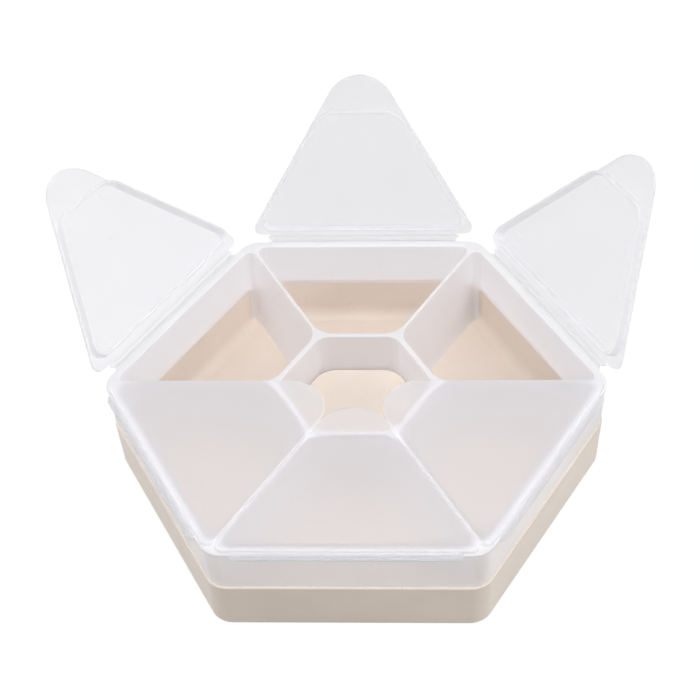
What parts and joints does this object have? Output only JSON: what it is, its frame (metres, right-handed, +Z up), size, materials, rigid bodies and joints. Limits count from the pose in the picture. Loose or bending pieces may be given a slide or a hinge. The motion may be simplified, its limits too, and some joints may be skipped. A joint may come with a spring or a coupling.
{
  "type": "divided snack box",
  "caption": "Hexagonal snack box: a low tray, a frosted lift-out divider insert with wedge compartments round an open centre well, and a hinged lid with a rounded tab on each compartment.",
  "frame": {"origin": "centre of the hexagon on the tray's underside", "axes": "+X through a corner of the hexagon, -Y out of the front side, +Z up"},
  "size_m": [0.2838, 0.2328, 0.129],
  "materials": {
    "tray": "moulded oatmeal plastic with plant fibre, satin, with faint fine flecks",
    "insert": "moulded frosted polypropylene, translucent, cool white",
    "lids": "moulded frosted polypropylene, translucent, cool white, smoother on the tabs"
  },
  "bodies": {
    "tray": {"tray": "tray"},
    "insert": {"insert": "insert"},
    "lid_rear_right": {"lid_rear_right": "lids"},
    "lid_rear": {"lid_rear": "lids"},
    "lid_rear_left": {"lid_rear_left": "lids"},
    "lid_front_left": {"lid_front_left": "lids"},
    "lid_front": {"lid_front": "lids"},
    "lid_front_right": {"lid_front_right": "lids"}
  },
  "joints": [
    {"name": "insert_lift", "type": "slide", "parent": "tray", "child": "insert", "axis": [0, 0, 1], "range_m": [0, 0.05]},
    {"name": "lid_rear_right_hinge", "type": "hinge", "parent": "insert", "child": "lid_rear_right", "pos_m": [0.08898, 0.05137, 0.04785], "axis": [-0.5, 0.866, 0], "range_deg": [-126, 54]},
    {"name": "lid_rear_hinge", "type": "hinge", "parent": "insert", "child": "lid_rear", "pos_m": [0, 0.10275, 0.04785], "axis": [-1, 0, 0], "range_deg": [-107, 73]},
    {"name": "lid_rear_left_hinge", "type": "hinge", "parent": "insert", "child": "lid_rear_left", "pos_m": [-0.08898, 0.05137, 0.04785], "axis": [-0.5, -0.866, 0], "range_deg": [-136, 44]},
    {"name": "lid_front_left_hinge", "type": "hinge", "parent": "insert", "child": "lid_front_left", "pos_m": [-0.08898, -0.05137, 0.04785], "axis": [0.5, -0.866, 0], "range_deg": [0, 180]},
    {"name": "lid_front_hinge", "type": "hinge", "parent": "insert", "child": "lid_front", "pos_m": [0, -0.10275, 0.04785], "axis": [1, 0, 0], "range_deg": [0, 180]},
    {"name": "lid_front_right_hinge", "type": "hinge", "parent": "insert", "child": "lid_front_right", "pos_m": [0.08898, -0.05137, 0.04785], "axis": [0.5, 0.866, 0], "range_deg": [0, 180]}
  ]
}
